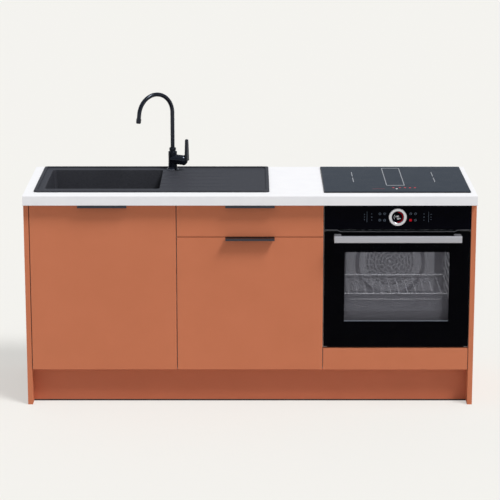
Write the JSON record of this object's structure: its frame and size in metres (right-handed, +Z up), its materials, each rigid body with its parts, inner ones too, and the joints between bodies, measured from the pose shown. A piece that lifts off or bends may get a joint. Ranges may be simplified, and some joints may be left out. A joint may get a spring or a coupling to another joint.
{
  "type": "kitchen base unit",
  "caption": "Straight kitchen base run with worktop, inset sink and mixer tap, glass hob, built-in oven, drawer, hinged cupboard doors and recessed plinth.",
  "frame": {"origin": "on the floor, under the middle of the whole object's box", "axes": "+X to the right along the run, -Y out of the fronts towards the user, +Z up"},
  "size_m": [1.84, 0.62, 1.2342],
  "materials": {
    "front_board": "matt terracotta lacquer on fibreboard",
    "carcass_board": "white melamine faced chipboard",
    "worktop_board": "white laminate on chipboard",
    "pull_metal": "anthracite anodised",
    "fitting_steel": "zinc plated",
    "leg_plastic": "black moulded plastic",
    "seal_rubber": "soft black seal",
    "sink_composite": "charcoal granite composite, fine matt grain",
    "waste_steel": "polished stainless steel",
    "trap_plastic": "white moulded plastic",
    "tap_black": "satin black coated brass",
    "tap_bright": "bright ring",
    "cartridge_plastic": "moulded cartridge head",
    "hob_ceramic": "black glass ceramic",
    "hob_steel": "galvanised sheet",
    "coil_copper": "wound copper",
    "oven_sheet": "galvanised sheet",
    "oven_enamel": "grey vitreous enamel",
    "oven_wire": "bright plated wire",
    "oven_black_glass": "black glass fascia",
    "oven_ring_metal": "satin aluminium",
    "oven_door_pane": "tinted toughened glass",
    "oven_door_metal": "black coated"
  },
  "bodies": {
    "carcass": {"adjustable_legs": "leg_plastic", "bottle_trap": "trap_plastic", "drawer_runner_cabinet": "fitting_steel", "drawer_unit_back": "carcass_board", "end_panels": "front_board", "hinge_arms": "fitting_steel", "hob_casing": "hob_steel", "hob_coils": "coil_copper", "hob_glass": "hob_ceramic", "oven_casing": "oven_sheet", "oven_cavity": "oven_enamel", "oven_control_panel": "oven_black_glass", "oven_display": "oven_black_glass", "oven_door_seal": "seal_rubber", "oven_fan_cover": "oven_enamel", "oven_fan_motor": "oven_sheet", "oven_filler_panel": "front_board", "oven_hinge_lugs": "oven_sheet", "oven_ring_element": "oven_wire", "oven_side_racks": "oven_wire", "oven_tray": "oven_enamel", "oven_wire_shelf": "oven_wire", "plinth_clips": "leg_plastic", "plinth_panel": "front_board", "plinth_seal": "seal_rubber", "shelf_pins": "fitting_steel", "sink": "sink_composite", "sink_waste": "waste_steel", "tap_base_ring": "tap_bright", "tap_body": "tap_black", "tap_fixing_nut": "fitting_steel", "unit_floors": "carcass_board", "unit_rails": "carcass_board", "unit_shelves": "carcass_board", "unit_sides": "carcass_board", "worktop": "worktop_board"},
    "sink_door": {"sink_door": "front_board", "sink_door_hinge_cups": "fitting_steel", "sink_door_pull": "pull_metal"},
    "cupboard_door": {"cupboard_door": "front_board", "cupboard_door_hinge_cups": "fitting_steel", "cupboard_door_pull": "pull_metal"},
    "drawer": {"drawer_front": "front_board", "drawer_pull": "pull_metal", "drawer_box": "carcass_board", "drawer_runner_inner": "fitting_steel"},
    "runner_middle": {"drawer_runner_middle": "fitting_steel"},
    "oven_door": {"oven_door_glass": "oven_door_pane", "oven_door_frame": "oven_door_metal", "oven_inner_glass": "oven_door_pane", "oven_door_handle": "oven_ring_metal", "oven_door_trim": "oven_ring_metal"},
    "control_ring": {"oven_control_ring": "oven_ring_metal"},
    "oven_fan": {"oven_fan_wheel": "oven_wire"},
    "tap_spout": {"tap_spout": "tap_black", "tap_aerator": "tap_black"},
    "tap_cartridge": {"tap_cartridge": "cartridge_plastic"},
    "tap_lever": {"tap_lever": "tap_black"},
    "strainer_basket": {"strainer_basket": "waste_steel"}
  },
  "joints": [
    {"name": "sink_door_hinge", "type": "hinge", "parent": "carcass", "child": "sink_door", "pos_m": [-0.89041, -0.2536, 0.5], "axis": [0, 0, -1], "range_deg": [0, 95]},
    {"name": "cupboard_door_hinge", "type": "hinge", "parent": "carcass", "child": "cupboard_door", "pos_m": [-0.29191, -0.2536, 0.43], "axis": [0, 0, -1], "range_deg": [0, 90]},
    {"name": "drawer_slide", "type": "slide", "parent": "carcass", "child": "drawer", "axis": [0, -1, 0], "range_m": [0, 0.45]},
    {"name": "runner_slide", "type": "slide", "parent": "carcass", "child": "runner_middle", "axis": [0, -1, 0], "range_m": [0, 0.225]},
    {"name": "oven_door_hinge", "type": "hinge", "parent": "carcass", "child": "oven_door", "pos_m": [0.6, -0.248, 0.257], "axis": [1, 0, 0], "range_deg": [0, 90], "stiffness_Nm_per_rad": 14, "springref_deg": -14.32},
    {"name": "control_ring_turn", "type": "hinge", "parent": "carcass", "child": "control_ring", "pos_m": [0.6, -0.26, 0.7965], "axis": [0, -1, 0], "continuous": true},
    {"name": "oven_fan_spin", "type": "hinge", "parent": "carcass", "child": "oven_fan", "pos_m": [0.6, 0.198, 0.505], "axis": [0, 1, 0], "continuous": true},
    {"name": "tap_spout_swivel", "type": "hinge", "parent": "carcass", "child": "tap_spout", "pos_m": [-0.33, 0.235, 0.9535], "axis": [0, 0, 1], "range_deg": [-110, 110]},
    {"name": "tap_heat_turn", "type": "hinge", "parent": "carcass", "child": "tap_cartridge", "pos_m": [-0.28843, 0.211, 0.9395], "axis": [0.866, -0.5, 0], "range_deg": [-45, 45]},
    {"name": "tap_flow_tilt", "type": "hinge", "parent": "tap_cartridge", "child": "tap_lever", "pos_m": [-0.28843, 0.211, 0.9395], "axis": [0.5, 0.866, 0], "range_deg": [0, 25]},
    {"name": "strainer_lift", "type": "slide", "parent": "carcass", "child": "strainer_basket", "axis": [0, 0, 1], "range_m": [0, 0.06]}
  ],
  "couplings": [
    {"joint": "runner_slide", "follows": "drawer_slide", "ratio": 0.5}
  ]
}
